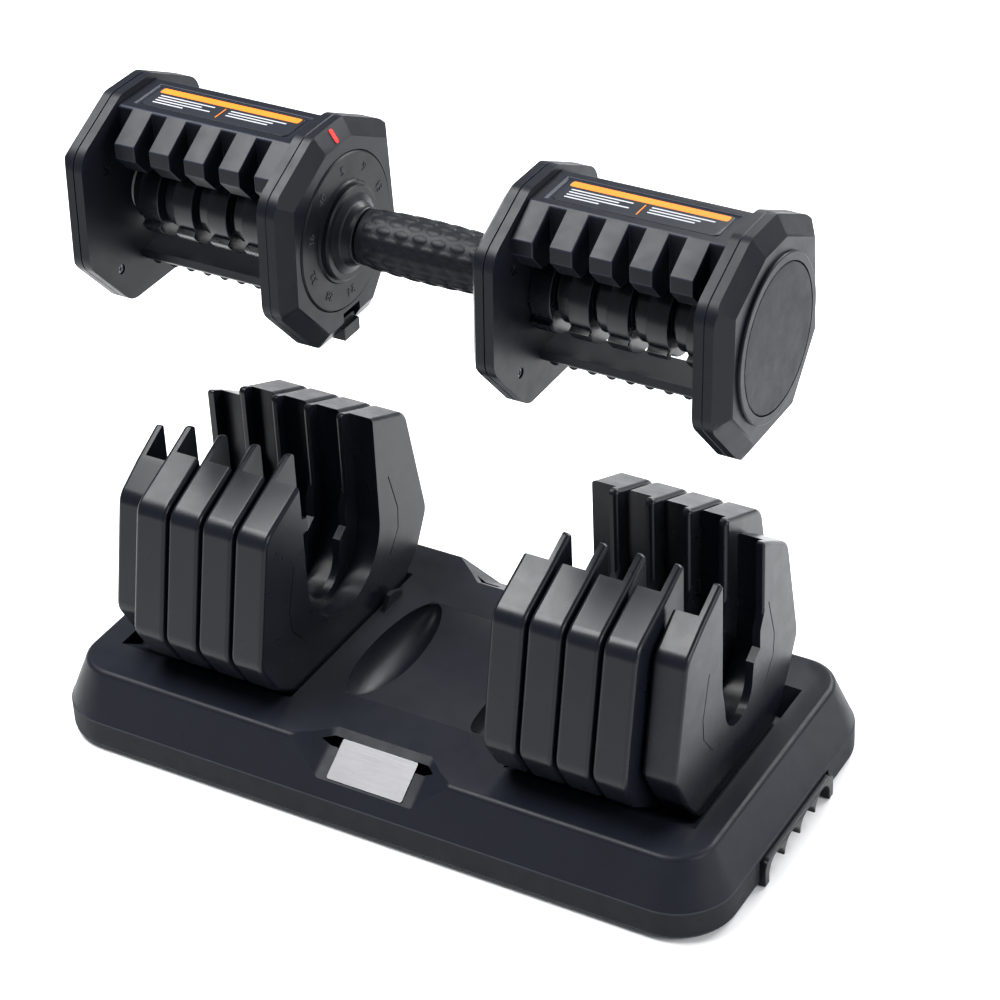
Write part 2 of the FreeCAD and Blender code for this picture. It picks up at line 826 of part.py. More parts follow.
def shoulder_edges(edge):
    """Corners of the plate's outline, without the ends of its horns."""
    if not along_x(edge):
        return False
    return abs(edge.BoundBox.YMin) > 45


def web_tips(edge):
    """Upper corners of the web where its slot opens, at the front horn and at the back."""
    if not along_x(edge) or edge.BoundBox.ZMin < 150:
        return False
    across = edge.BoundBox.YMin
    at_front = abs(across + number("web_slot_front")) < 0.1
    at_back = abs(across - number("web_slot_back")) < 0.1
    return at_front or at_back


def flat_in_x(edge):
    return edge.BoundBox.XLength < 0.01


def arc_corners(radius, centre_up, steps, start_angle=0, end_angle=180):
    """Corners of a rounded slot floor, from the right side down and up the left side."""
    corners = []
    for step in range(steps + 1):
        angle = math.radians(start_angle + (end_angle - start_angle) * step / steps)
        corners.append((radius * math.cos(angle), centre_up - radius * math.sin(angle)))
    return corners


FLOOR_STEPS = 24


def plain_slot():
    """U-shaped slot beside the grip-side face, where the lip does not reach."""
    half = number("slot_half_width")
    centre = number("slot_floor") + half
    return [(half, 200)] + arc_corners(half, centre, FLOOR_STEPS) + [(-half, 200)]


def wide_slot():
    """Slot of the full thickness. At the front it has the lip the locking drum catches."""
    half = number("slot_half_width")
    above = 200
    centre = number("slot_floor") + half
    lip = number("docked_height") + number("lip_rise")
    corners = [(half, above)] + arc_corners(half, centre, FLOOR_STEPS)
    lip_top = lip + number("lip_height")
    corners += [(-half, lip), (-number("lip_y"), lip), (-number("lip_y"), lip_top)]
    corners += [(-half, lip_top + 6), (-half, above)]
    return corners


def narrow_slot():
    """Slot of the web, stepped towards its floor, with a small notch at the back."""
    front = number("web_slot_front")
    back = number("web_slot_back")
    axis = number("docked_height")
    floor_radius = 17.5
    centre = number("web_slot_floor") + floor_radius
    above = 200
    corners = [(back, above), (back, axis + 2), (front + 7, axis - 6), (front + 7, axis - 18)]
    corners += [(floor_radius + 1.5, axis - 23)] + arc_corners(floor_radius, centre, FLOOR_STEPS)
    corners += [(-floor_radius - 1.5, axis - 24), (-front, axis - 20), (-front, above)]
    return corners


def face_grooves(small):
    """Thin decorative line near each side of a plate's face."""
    inward = 15 if small else 0
    centre_line = [(52 - inward, 131), (60 - inward, 104), (59 - inward, 90), (48 - inward, 76)]
    width = 0.9
    right = [(across + width, up) for across, up in reversed(centre_line)]
    groove = centre_line + right
    mirrored = [(-across, up) for across, up in groove]
    return [groove, mirrored]


# ---------------------------------------------------------------- storage tray

FOOT_PLACES = [(-150, -70), (150, -70), (-150, 70), (150, 70)]
TRAY_SCREW_PLACES = [(-120, -80), (0, -80), (120, -80), (-120, 80), (0, 80), (120, 80)]


def rounded_tray(body, inset, bottom, top, adds=True, taper=None):
    """The tray's rounded rectangle, drawn with arcs, inset from its widest outline."""
    half_x = number("tray_length") / 2 - inset
    half_y = number("tray_width") / 2 - inset
    radius = number("tray_corner") - inset
    sketch = new_sketch(body, "XY_Plane", bottom)
    corners = [(half_x, half_y), (-half_x, half_y), (-half_x, -half_y), (half_x, -half_y)]
    turns = [(0, 90), (90, 180), (180, 270), (270, 360)]
    starts = []
    for (across, up), (begin, finish) in zip(corners, turns):
        centre = FreeCAD.Vector(across - math.copysign(radius, across), up - math.copysign(radius, up), 0)
        circle = Part.Circle(centre, FreeCAD.Vector(0, 0, 1), radius)
        arc = Part.ArcOfCircle(circle, math.radians(begin), math.radians(finish))
        starts.append((arc.StartPoint, arc.EndPoint))
        sketch.addGeometry(arc, False)
    for index in range(4):
        following = starts[(index + 1) % 4][0]
        sketch.addGeometry(Part.LineSegment(starts[index][1], following), False)
    return extrude(body, sketch, f"({top}) - ({bottom})", adds, forward=True, taper=taper)


def tray_shell():
    """Upper moulding: sloped walls, rounded rim, dished deck with plate seats."""
    body = new_body("tray_shell")
    slope = -math.degrees(math.atan(number("rim_inset") / (number("rim_height") - number("skirt_top"))))
    rounded_tray(body, 0.6, "dims.skirt_top", "dims.rim_height", taper=slope)
    dress(body, "Fillet", 4, at_z(number("rim_height")))
    slope_run = number("deck_slope")
    deck_inset = number("rim_inset") + number("rim_width") + slope_run
    dish = math.degrees(math.atan(slope_run / (number("rim_height") - number("deck_height"))))
    rounded_tray(body, deck_inset, "dims.deck_height", "dims.rim_height", adds=False, taper=dish)
    wall = number("rim_inset") + 2
    rounded_tray(body, wall, "dims.skirt_top", "dims.skirt_top + 7.5", adds=False)
    trough(body)
    for side in (LEFT, RIGHT):
        seat(body, side)
        hollow_under_deck(body, side)
    screw_posts(body)
    tray_fin(body)
    for front in (-1, 1):
        rim_notch(body, front)
    return body


def screw_posts(body):
    """Posts that reach down to the pan's floor and take the tray's screws."""
    floor = "dims.skirt_bottom + dims.wall"
    posts = [(x, y, 5) for x, y in TRAY_SCREW_PLACES]
    layer(body, posts, floor, "dims.deck_height - 1")
    holes = [(x, y, 1.6) for x, y in TRAY_SCREW_PLACES]
    layer(body, holes, floor, f"{floor} + 10", adds=False)


def tray_fin(body):
    """Thin upright fin beside the left plates."""
    fin = [(24, 45), (50, 45), (48, 53), (40, 56.5), (35, 56.5)]
    slab(body, [fin], "dims.inner_seam", "dims.inner_seam + 3", LEFT)


PLAQUE_MIDDLE = FreeCAD.Vector(0, -95.5, 38.85)
PLAQUE_SLOPE = math.degrees(math.atan2(20, 30.5))
PLAQUE_HALF_LENGTH = 25
PLAQUE_HALF_WIDTH = 12.5


def rim_notch(body, front):
    """Sloped cut through the rim, with a triangular facet at each end."""
    section = [(front * 75.45, 52), (front * 112, 28.03), (front * 112, 52)]
    tip = [(front * 111.5, 52), (front * 112, 51.7), (front * 112, 52)]
    half = 31
    slab(body, [section], f"-{half}", f"{half}", adds=False)
    for side in (LEFT, RIGHT):
        near = new_sketch(body, "YZ_Plane", f"{side * half}")
        draw(near, [section])
        far = new_sketch(body, "YZ_Plane", f"{side * 71.8}")
        draw(far, [tip])
        before = body.Shape.Volume
        loft = body.newObject("PartDesign::SubtractiveLoft", "facet")
        loft.Profile = near
        loft.Sections = [far]
        loft.Ruled = True
        doc.recompute()
        if body.Shape.Volume >= before:
            raise RuntimeError(f"{body.Label}: a facet of the rim notch removed nothing")
    return body


def trough(body):
    """Shallow hollow under the grip and a deeper oval each side of it for the dial."""
    half_width = 51
    depth = 7
    radius = (half_width ** 2 + depth ** 2) / (2 * depth)
    slab(body, [(0, number("deck_height") - depth + radius, radius)], "-46", "46", adds=False)
    for side in (LEFT, RIGHT):
        oval = body.newObject("PartDesign::SubtractiveEllipsoid", "oval")
        oval.Radius1 = 17
        oval.Radius2 = 14
        oval.Radius3 = 50
        oval.Angle1 = -90
        oval.Angle2 = 90
        oval.AttachmentSupport = [([item for item in body.Origin.OriginFeatures
                                    if item.Role == "XY_Plane"][0], "")]
        oval.MapMode = "FlatFace"
        oval.AttachmentOffset = FreeCAD.Placement(
            FreeCAD.Vector(side * 42, 0, number("deck_height") - 1), FreeCAD.Rotation())
        doc.recompute()


def seat(body, side):
    """Sunk seat with sloping ends in which the plates of one side stand."""
    low = number("plate_foot_y") + 3.5
    floor = number("seat_floor")
    deck = number("deck_height")
    half = number("seat_half_width")
    rise = 6
    section = [(half + 2, deck + rise), (half, deck), (low, floor), (-low, floor), (-half, deck),
               (-half - 2, deck + rise)]
    start = number("plate_first") - 1.5
    end = number("plate_first") + PLATES_PER_SIDE * number("plate_pitch") + 5
    slab(body, [section], f"{start}", f"{end}", side, adds=False)


def hollow_under_deck(body, side):
    """Lightens the moulding from below, under and beside the seats."""
    bottom = "dims.skirt_top"
    under_deck = "dims.deck_height - dims.wall"
    under_seat = rectangle(side * 66, -66, side * 188, 66)
    layer(body, [under_seat], bottom, "dims.seat_floor - dims.wall", adds=False)
    outer = rectangle(side * 191, -78, side * 199, 78)
    layer(body, [outer], bottom, under_deck, adds=False)
    for front in (-1, 1):
        beside = rectangle(side * 20, front * 69, side * 186, front * 90)
        layer(body, [beside], bottom, under_deck, adds=False)


def tray_base():
    """Lower pan: a skirt with a floor, open at each end for the fingers."""
    body = new_body("tray_base")
    rounded_tray(body, 0, "dims.skirt_bottom", "dims.skirt_top")
    dress(body, "Chamfer", 2.5, at_z(number("skirt_bottom")))
    floor = "dims.skirt_bottom + dims.wall"
    rounded_tray(body, number("wall"), floor, "dims.skirt_top", adds=False)
    heads = [(x, y, 3.5) for x, y in TRAY_SCREW_PLACES]
    layer(body, heads, "dims.skirt_bottom", "dims.skirt_bottom + 1.8", adds=False)
    shanks = [(x, y, 1.8) for x, y in TRAY_SCREW_PLACES]
    layer(body, shanks, "dims.skirt_bottom", floor, adds=False)
    for side in (LEFT, RIGHT):
        hand_room = rectangle(side * 176, -46, side * 222, 46)
        layer(body, [hand_room], "dims.skirt_bottom", "dims.skirt_top - 3.5", adds=False)
    return body


def carry_grip(side):
    """Scalloped lip of the hand opening at one end of the tray."""
    body = new_body(f"{SIDE_NAMES[side]}_carry_grip")
    half = 2 * number("finger_pitch") + 4.6
    end_wall = "dims.tray_length / 2 - 3.2"
    lip = "dims.tray_length / 2 + dims.grip_lip_out"
    slab(body, [rectangle(-half, 0.8, half, 17.5)], end_wall, lip, side)
    dress(body, "Fillet", 6, top_corners)
    fingers = []
    for index in range(4):
        across = (index - 1.5) * number("finger_pitch")
        fingers.append((across, "finger_centre_height", "finger_radius"))
    slab(body, fingers, end_wall, lip, side, adds=False)
    reach = 1.5 * number("finger_pitch") + number("finger_radius")
    slab(body, [rectangle(-reach, -1, reach, 6)], end_wall, lip, side, adds=False)
    return body


def top_corners(edge):
    return along_x(edge) and edge.BoundBox.ZMin > 10


def plaque():
    """Blank brushed plaque on the slope of the front notch."""
    body = new_body("plaque")
    layer(body, [centred(PLAQUE_HALF_LENGTH, PLAQUE_HALF_WIDTH)], "0.05", "0.7")
    dress(body, "Fillet", 1, along_z)
    turn = FreeCAD.Rotation(FreeCAD.Vector(1, 0, 0), PLAQUE_SLOPE)
    body.Placement = FreeCAD.Placement(PLAQUE_MIDDLE, turn)
    return body


def feet():
    """Rubber feet under the tray's floor."""
    height = number("skirt_bottom")
    shapes = []
    for x, y in FOOT_PLACES:
        shapes.append(Part.makeCylinder(number("foot_radius"), height, FreeCAD.Vector(x, y, 0)))
    return group("tray_feet", shapes)


def tray_screws():
    """Screws that join the pan to the upper moulding, seen from below."""
    up = FreeCAD.Vector(0, 0, 1)
    places = [(FreeCAD.Vector(x, y, number("skirt_bottom")), up) for x, y in TRAY_SCREW_PLACES]
    return screws("tray_screws", places, 3.2, 1.5, 9, raised=False)


# ---------------------------------------------------------------- build and export

def build_tray():
    tray_base()
    tray_shell()
    plaque()
    feet()
    tray_screws()


def build_head(side):
    inner_cover(side)
    inner_plate(side)
    outer_plate(side)
    end_cap(side)
    end_disc(side)
    saddle(side)
    label_panel(side)
    tie_bar(side)
    dial(side)
    collar(side)
    carry_grip(side)
    for index in range(PLATES_PER_SIDE):
        locking_disc(side, index)
        plate(side, index)


def build_handle():
    axle()
    axle_nuts()
    handle_tube()
    grip_sleeve()
    bushes()
    flange_screws()
    index_mark()
    lock_tab()
    lock_spring()
    detent_ball()
    detent_spring()


def check_and_export():
    for item in doc.Objects:
        if "Invalid" in item.State or "Error" in item.State:
            raise RuntimeError(f"{item.Name} failed: {item.State}")
    for label, node in nodes.items():
        if node.Shape.isNull() or not node.Shape.isValid() or not node.Shape.Solids:
            raise RuntimeError(f"{label} has no valid solid")
        node.Shape.exportStep(f"parts/{label}.step")
        box = node.Shape.BoundBox
        print(f"{label}: {len(node.Shape.Solids)} solid, {node.Shape.Volume / 1000:.1f} cm3, "
              f"x {box.XMin:.1f}..{box.XMax:.1f}, y {box.YMin:.1f}..{box.YMax:.1f}, "
              f"z {box.ZMin:.1f}..{box.ZMax:.1f}")


build_tray()
for each_side in (LEFT, RIGHT):
    build_head(each_side)
build_handle()
doc.recompute()
check_and_export()
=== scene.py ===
import json
import math

import bmesh
import bpy
from mathutils import Matrix, Vector


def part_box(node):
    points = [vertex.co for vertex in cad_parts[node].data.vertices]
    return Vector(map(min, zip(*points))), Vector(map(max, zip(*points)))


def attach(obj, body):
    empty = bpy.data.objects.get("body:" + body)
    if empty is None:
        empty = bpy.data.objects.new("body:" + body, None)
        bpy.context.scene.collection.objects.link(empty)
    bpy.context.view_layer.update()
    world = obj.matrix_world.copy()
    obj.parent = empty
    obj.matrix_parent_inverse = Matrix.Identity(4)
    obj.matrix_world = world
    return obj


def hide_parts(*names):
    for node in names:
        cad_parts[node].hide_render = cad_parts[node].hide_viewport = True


# Looks of the adjustable dumbbell and its tray. Metres, in the frame of the CAD model:
# X along the handle, -Y towards the plaque side, +Z up.

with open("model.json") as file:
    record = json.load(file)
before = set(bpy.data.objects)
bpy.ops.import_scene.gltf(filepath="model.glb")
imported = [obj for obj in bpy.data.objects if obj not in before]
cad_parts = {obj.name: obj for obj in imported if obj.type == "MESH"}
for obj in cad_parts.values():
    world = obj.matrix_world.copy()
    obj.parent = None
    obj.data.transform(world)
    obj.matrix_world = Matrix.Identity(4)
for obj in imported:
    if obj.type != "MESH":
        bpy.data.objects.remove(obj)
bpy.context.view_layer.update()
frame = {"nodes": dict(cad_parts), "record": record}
MM = 0.001
SIDES = {"left": -1, "right": 1}
SLOT_OF = {part["node"]: part["material_slot"] for part in frame["record"]["subparts"]}
GRIP_LOW, GRIP_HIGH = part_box("grip_sleeve")
AXIS_HEIGHT = (GRIP_LOW.z + GRIP_HIGH.z) / 2


# ---------------------------------------------------------------- small helpers

def link(obj):
    bpy.context.scene.collection.objects.link(obj)
    return obj


def mesh_piece(name, points, faces, smooth=False):
    mesh = bpy.data.meshes.new(name)
    mesh.from_pydata([tuple(p) for p in points], [], faces)
    for polygon in mesh.polygons:
        polygon.use_smooth = smooth
    mesh.validate()
    return link(bpy.data.objects.new(name, mesh))


def dress(piece, body, material):
    """Gives a new piece its material and the body it moves with."""
    piece.data.materials.clear()
    piece.data.materials.append(material)
    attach(piece, body)
    return piece


# ---------------------------------------------------------------- materials

# Noise of every moulded look: scale, detail, roughness.
CLOUDS = (22, 5, 0.6)
SMEARS = (70, 4, 0.65)
SPECK_SCALE = 420
SPECK_SHADE = 7
SPECULAR = 0.14
COAT_ROUGHNESS = 0.25
CLOUD_RELIEF = 0.12
CLOUD_STRENGTH = 0.25
STREAK_RELIEF = 0.02
STREAK_STRENGTH = 0.35


class Nodes:
    """Short names for building one material's node tree."""

    def __init__(self, name):
        self.material = bpy.data.materials.new(name)
        self.material.use_nodes = True
        self.tree = self.material.node_tree
        self.shader = self.tree.nodes["Principled BSDF"]
        self.place = self.tree.nodes.new("ShaderNodeTexCoord").outputs["Object"]

    def join(self, source, target):
        self.tree.links.new(source, target)

    def stretched(self, scale):
        mapping = self.tree.nodes.new("ShaderNodeMapping")
        mapping.inputs["Scale"].default_value = scale
        self.join(self.place, mapping.inputs["Vector"])
        return mapping.outputs["Vector"]

    def noise(self, scale, detail=4, rough=0.5, vector=None):
        node = self.tree.nodes.new("ShaderNodeTexNoise")
        node.inputs["Scale"].default_value = scale
        node.inputs["Detail"].default_value = detail
        node.inputs["Roughness"].default_value = rough
        self.join(vector or self.place, node.inputs["Vector"])
        return node.outputs["Fac"]

    def cells(self, scale):
        node = self.tree.nodes.new("ShaderNodeTexVoronoi")
        node.inputs["Scale"].default_value = scale
        self.join(self.place, node.inputs["Vector"])
        return node.outputs["Distance"]

    def spread(self, value, low, high, out_low, out_high):
        node = self.tree.nodes.new("ShaderNodeMapRange")
        node.inputs["From Min"].default_value = low
        node.inputs["From Max"].default_value = high
        node.inputs["To Min"].default_value = out_low
        node.inputs["To Max"].default_value = out_high
        self.join(value, node.inputs["Value"])
        return node.outputs["Result"]

    def blend(self, factor, first, second):
        node = self.tree.nodes.new("ShaderNodeMix")
        node.data_type = "RGBA"
        for socket, value in ((node.inputs[6], first), (node.inputs[7], second)):
            if isinstance(value, tuple):
                socket.default_value = (*value, 1)
            else:
                self.join(value, socket)
        self.join(factor, node.inputs[0])
        return node.outputs[2]

    def bump(self, height, strength, distance, below=None):
        node = self.tree.nodes.new("ShaderNodeBump")
        node.inputs["Strength"].default_value = strength
        node.inputs["Distance"].default_value = distance
        self.join(height, node.inputs["Height"])
        if below is not None:
            self.join(below, node.inputs["Normal"])
        return node.outputs["Normal"]

    def colour(self, source):
        self.join(source, self.shader.inputs["Base Color"])

    def roughness(self, source):
        self.join(source, self.shader.inputs["Roughness"])

    def normal(self, source):
        self.join(source, self.shader.inputs["Normal"])


def scaled(colour, factor):
    return tuple(min(1.0, channel * factor) for channel in colour)


def moulded(name, colour, rough, grain=1400, depth=0.03, strength=0.5, speckle=0.0, coat=0.0):
    """Moulded plastic or rubber: fine grain, faint clouds of tone and gloss, dust specks."""
    n = Nodes(name)
    clouds = n.noise(*CLOUDS)
    smears = n.noise(*SMEARS)
    fine = n.noise(grain, 3, 0.55)
    tone = n.blend(n.spread(clouds, 0.3, 0.7, 0, 1), scaled(colour, 0.86), scaled(colour, 1.14))
    tone = n.blend(n.spread(fine, 0.35, 0.75, 0, 0.5), tone, scaled(colour, 1.5))
    if speckle:
        specks = n.spread(n.cells(SPECK_SCALE), 0.05, 0.12, speckle, 0)
        tone = n.blend(specks, tone, scaled(colour, SPECK_SHADE))
    n.colour(tone)
    n.roughness(n.spread(smears, 0.3, 0.7, rough - 0.05, rough + 0.06))
    grainy = n.bump(fine, strength, depth * MM)
    n.normal(n.bump(clouds, CLOUD_STRENGTH, CLOUD_RELIEF * MM, below=grainy))
    n.shader.inputs["Specular IOR Level"].default_value = SPECULAR
    n.shader.inputs["Coat Weight"].default_value = coat
    n.shader.inputs["Coat Roughness"].default_value = COAT_ROUGHNESS
    return n.material


def brushed(name, colour, rough, along):
    """Brushed metal: streaks along one axis in tone, gloss and relief."""
    n = Nodes(name)
    streaks = n.noise(1, 3, 0.6, n.stretched(along))
    clouds = n.noise(40, 4, 0.6)
    tone = n.blend(n.spread(streaks, 0.3, 0.7, 0, 1), scaled(colour, 0.8), scaled(colour, 1.1))
    n.colour(n.blend(n.spread(clouds, 0.35, 0.65, 0, 0.25), tone, scaled(colour, 0.7)))
    n.roughness(n.spread(streaks, 0.25, 0.75, rough - 0.06, rough + 0.1))
    n.normal(n.bump(streaks, STREAK_STRENGTH, STREAK_RELIEF * MM))
    n.shader.inputs["Metallic"].default_value = 1.0
    return n.material


# Colour, roughness, grain scale, grain depth (mm), grain strength, speckle, coat.
MOULDED_LOOKS = {
    "skirt_plastic": ((0.0062, 0.0071, 0.0095), 0.60, 900, 0.05, 0.6, 0.16, 0.0),
    "tray_plastic": ((0.0061, 0.0076, 0.0116), 0.42, 1300, 0.035, 0.5, 0.02, 0.0),
    "grip_plastic": ((0.0043, 0.0050, 0.0067), 0.32, 1500, 0.02, 0.4, 0.0, 0.1),
    "head_plastic": ((0.0049, 0.0060, 0.0092), 0.38, 1500, 0.03, 0.5, 0.02, 0.0),
    "disc_plastic": ((0.0093, 0.0106, 0.0141), 0.52, 1100, 0.04, 0.6, 0.0, 0.0),
    "dial_plastic": ((0.0053, 0.0061, 0.0081), 0.40, 1500, 0.03, 0.5, 0.0, 0.0),
    "rotor_plastic": ((0.0037, 0.0045, 0.0063), 0.24, 1800, 0.015, 0.35, 0.0, 0.3),
    "lock_plastic": ((0.0050, 0.0056, 0.0074), 0.40, 1500, 0.03, 0.5, 0.0, 0.0),
    "plate_iron": ((0.0043, 0.0054, 0.0085), 0.31, 1100, 0.03, 0.55, 0.02, 0.15),
    "foot_rubber": ((0.0062, 0.0066, 0.0074), 0.80, 900, 0.05, 0.7, 0.0, 0.0),
    "grip_rubber": ((0.0043, 0.0053, 0.0078), 0.46, 2000, 0.03, 0.6, 0.0, 0.0),
    "bush_plastic": ((0.60, 0.60, 0.56), 0.50, 1200, 0.03, 0.4, 0.0, 0.0),
    "red_plastic": ((0.62, 0.015, 0.012), 0.34, 1500, 0.01, 0.3, 0.0, 0.0),
    "label_film": ((0.0105, 0.0122, 0.0163), 0.36, 2200, 0.01, 0.3, 0.0, 0.0),
}
# Colour, roughness, streak scale along each axis.
BRUSHED_LOOKS = {
    "steel": ((0.10, 0.105, 0.12), 0.34, (60, 2500, 2500)),
    "brushed_plaque": ((0.115, 0.115, 0.120), 0.42, (30, 2600, 2600)),
}
# How much lighter a rounded edge is than the face beside it: partly wear, partly a painted
# highlight along the edge.
EDGE_WEAR_AND_HIGHLIGHT_LIFT = 3.2


def make_looks(suffix, lift):
    """One material per slot, with its colour multiplied by lift."""
    looks = {}
    for slot, (colour, *rest) in MOULDED_LOOKS.items():
        looks[slot] = moulded(slot + suffix, scaled(colour, lift), *rest)
    for slot, (colour, *rest) in BRUSHED_LOOKS.items():
        looks[slot] = brushed(slot + suffix, scaled(colour, lift), *rest)
    return looks


FACE_LOOK = make_looks("", 1.0)
# Lighter copies of the looks for the rounded edges: partly wear, partly a painted highlight.
EDGE_WEAR_AND_HIGHLIGHT_LOOK = make_looks("_edge", EDGE_WEAR_AND_HIGHLIGHT_LIFT)

# Width in mm of the rounding on a node's sharp edges, where it is not the usual one.
USUAL_EDGE = 0.5
SHARP_ANGLE = math.radians(28)
WELD_DISTANCE = 0.002
EDGE_WIDTH = {
    "tray_shell": 1.2, "tray_base": 0.9, "left_saddle": 0.8, "right_saddle": 0.8,
    "left_carry_grip": 0.6, "right_carry_grip": 0.6, "plaque": 0.15, "flange_screws": 0.08,
    "tray_screws": 0.15, "index_mark": 0.15, "left_label": 0.0, "right_label": 0.0,
    "lock_spring": 0.0, "detent_spring": 0.0, "detent_ball": 0.0, "left_end_disc": 0.0,
    "right_end_disc": 0.0, "bushes": 0.2, "axle_nuts": 0.3,
}


def finish_node(name, obj):
    """Keeps a CAD node's shape, rounds its sharp edges slightly and gives it its finish."""
    slot = SLOT_OF[name]
    obj.data.materials.clear()
    obj.data.materials.append(FACE_LOOK[slot])
    obj.data.materials.append(EDGE_WEAR_AND_HIGHLIGHT_LOOK[slot])
    width = EDGE_WIDTH.get(name, USUAL_EDGE)
    weld = obj.modifiers.new("weld", "WELD")
    weld.merge_threshold = WELD_DISTANCE * MM
    if width:
        bevel = obj.modifiers.new("edges", "BEVEL")
        bevel.width = width * MM
        bevel.segments = 2
        bevel.limit_method = "ANGLE"
        bevel.angle_limit = SHARP_ANGLE
        # The rounded edges take the lighter edge copy: partly wear, partly a painted highlight.
        bevel.material = 1
        bevel.use_clamp_overlap = True
    normals = obj.modifiers.new("normals", "WEIGHTED_NORMAL")
    normals.keep_sharp = False
    normals.weight = 80


for node_name, node in frame["nodes"].items():
    finish_node(node_name, node)


# ---------------------------------------------------------------- grip, numerals, labels
# Lengths below are in mm.

NUMBER_LOOK = moulded("number_relief", (0.030, 0.032, 0.037), 0.5, 1800, 0.01, 0.3)
ORANGE = moulded("label_orange", (0.58, 0.145, 0.015), 0.42, 2200, 0.01, 0.3)
PALE = moulded("label_pale", (0.30, 0.31, 0.33), 0.45, 2200, 0.01, 0.3)

GRIP_ROWS = 18
GRIP_STEPS = 144
GRIP_LENGTH_STEPS = 200
GRIP_BORE_RADIUS = 12.3
GRIP_RIM_RADIUS = 14.8
GRIP_RIM_LENGTH = 0.4
GRIP_END_RADIUS = 15.5
GRIP_SWELL = 1.6
GRIP_PLAIN_END = 4
DASH_LENGTH = 9.0
DASH_PITCH = 11.5
DASH_HEIGHT = 0.5
DASH_REACH = 0.40  # half width of a dash, as a share of its row


def grip_radius(x, half):
    """Barrel shape of the rubber grip before its raised dashes."""
    return GRIP_END_RADIUS + GRIP_SWELL * (1 - (x / half) ** 2)


def dash_height(x, angle):
    """Height of the lens-shaped dashes, staggered from row to row."""
    row = math.floor(angle / (2 * math.pi) * GRIP_ROWS)
    across = angle / (2 * math.pi) * GRIP_ROWS - row - 0.5
    offset = DASH_PITCH / 2 if row % 2 else 0.0
    along = (x + offset + DASH_PITCH / 2) % DASH_PITCH - DASH_PITCH / 2
    reach = (2 * along / DASH_LENGTH) ** 2 + (across / DASH_REACH) ** 2
    return DASH_HEIGHT * max(0.0, 1 - reach) ** 0.5


def make_grip():
    """Rubber grip with raised dashes, closed at its ends down to the steel tube."""
    half = (GRIP_HIGH.x - GRIP_LOW.x) / 2 / MM
    barrel = 2 * half - 2 * GRIP_RIM_LENGTH
    stations = [(-half, GRIP_BORE_RADIUS), (-half, GRIP_RIM_RADIUS)]
    for i in range(GRIP_LENGTH_STEPS + 1):
        stations.append((-half + GRIP_RIM_LENGTH + barrel * i / GRIP_LENGTH_STEPS, None))
    stations += [(half, GRIP_RIM_RADIUS), (half, GRIP_BORE_RADIUS)]
    points = []
    for x, fixed in stations:
        for j in range(GRIP_STEPS):
            angle = 2 * math.pi * j / GRIP_STEPS
            radius = fixed
            if fixed is None:
                radius = grip_radius(x, half)
                if abs(x) < half - GRIP_PLAIN_END:
                    radius += dash_height(x, angle)
            up = AXIS_HEIGHT + radius * MM * math.sin(angle)
            points.append((x * MM, radius * MM * math.cos(angle), up))
    faces = []
    for i in range(len(stations)):
        following = (i + 1) % len(stations)
        for j in range(GRIP_STEPS):
            beside = (j + 1) % GRIP_STEPS
            faces.append((i * GRIP_STEPS + j, i * GRIP_STEPS + beside,
                          following * GRIP_STEPS + beside, following * GRIP_STEPS + j))
    piece = mesh_piece("grip_relief", points, faces, smooth=True)
    face_outwards(piece)
    dress(piece, "twist_handle", FACE_LOOK["grip_rubber"])
    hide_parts("grip_sleeve")


def face_outwards(piece):
    """Turns every face of a closed piece outwards."""
    work = bmesh.new()
    work.from_mesh(piece.data)
    bmesh.ops.recalc_face_normals(work, faces=work.faces)
    work.to_mesh(piece.data)
    work.free()


DIAL_NUMBERS = (5, 9, 13, 17, 21, 24, 28, 32, 36, 40)
NUMBER_STEP = math.radians(36)
NUMBER_RADIUS = 36.5
NUMBER_SIZE = 7.4
NUMBER_RELIEF = 0.30
DIAL_FACE_DEPTH = 6.3  # from the dial's back to the face the numerals stand on


def number_mesh(text):
    """Raised numeral: letter shapes turned into a solid, centred on its own origin."""
    curve = bpy.data.curves.new(f"shape_{text}", "FONT")
    curve.body = text
    curve.size = NUMBER_SIZE * MM
    curve.align_x = "CENTER"
    curve.align_y = "CENTER"
    curve.extrude = NUMBER_RELIEF / 2 * MM
    curve.resolution_u = 3
    shape = link(bpy.data.objects.new(f"shape_{text}", curve))
    bpy.context.view_layer.update()
    evaluated = shape.evaluated_get(bpy.context.evaluated_depsgraph_get())
    mesh = bpy.data.meshes.new_from_object(evaluated)
    bpy.data.objects.remove(shape)
    bpy.data.curves.remove(curve)
    return mesh


def make_numbers():
    """The ten numerals round the left dial, on its grip-side face."""
    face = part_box("left_dial")[0].x + DIAL_FACE_DEPTH * MM + NUMBER_RELIEF / 2 * MM
    for index, number in enumerate(DIAL_NUMBERS):
        angle = NUMBER_STEP * index
        across = Vector((0, math.cos(angle), -math.sin(angle)))
        up = Vector((0, math.sin(angle), math.cos(angle)))
        out = Vector((1, 0, 0))
        middle = Vector((face, 0, AXIS_HEIGHT)) + up * NUMBER_RADIUS * MM
        mesh = number_mesh(str(number))
        turn = Matrix((across, up, out)).transposed().to_4x4()
        mesh.transform(Matrix.Translation(middle) @ turn)
        piece = link(bpy.data.objects.new(f"dial_number_{number}", mesh))
        dress(piece, "twist_handle", NUMBER_LOOK)


PRINT_RISE = 0.08
PRINT_THICKNESS = 0.06
BAND_INSET = 2
BAND_TOP = 0.8
BAND_BOTTOM = 6.2
BAND_CORNER = 1.4
DIVIDER_HALF_WIDTH = 0.3
DIVIDER_BOTTOM = 3
DIVIDER_TOP = 8
DIVIDER_CORNER = 0.2
LINE_LENGTH = 36
LINE_SHORTER = 7
LAST_LINE_SHORTER = 9
FIRST_LINE = 9.2
LINE_PITCH = 2.7
LINE_HALF_HEIGHT = 0.55
LINE_CORNER = 0.3


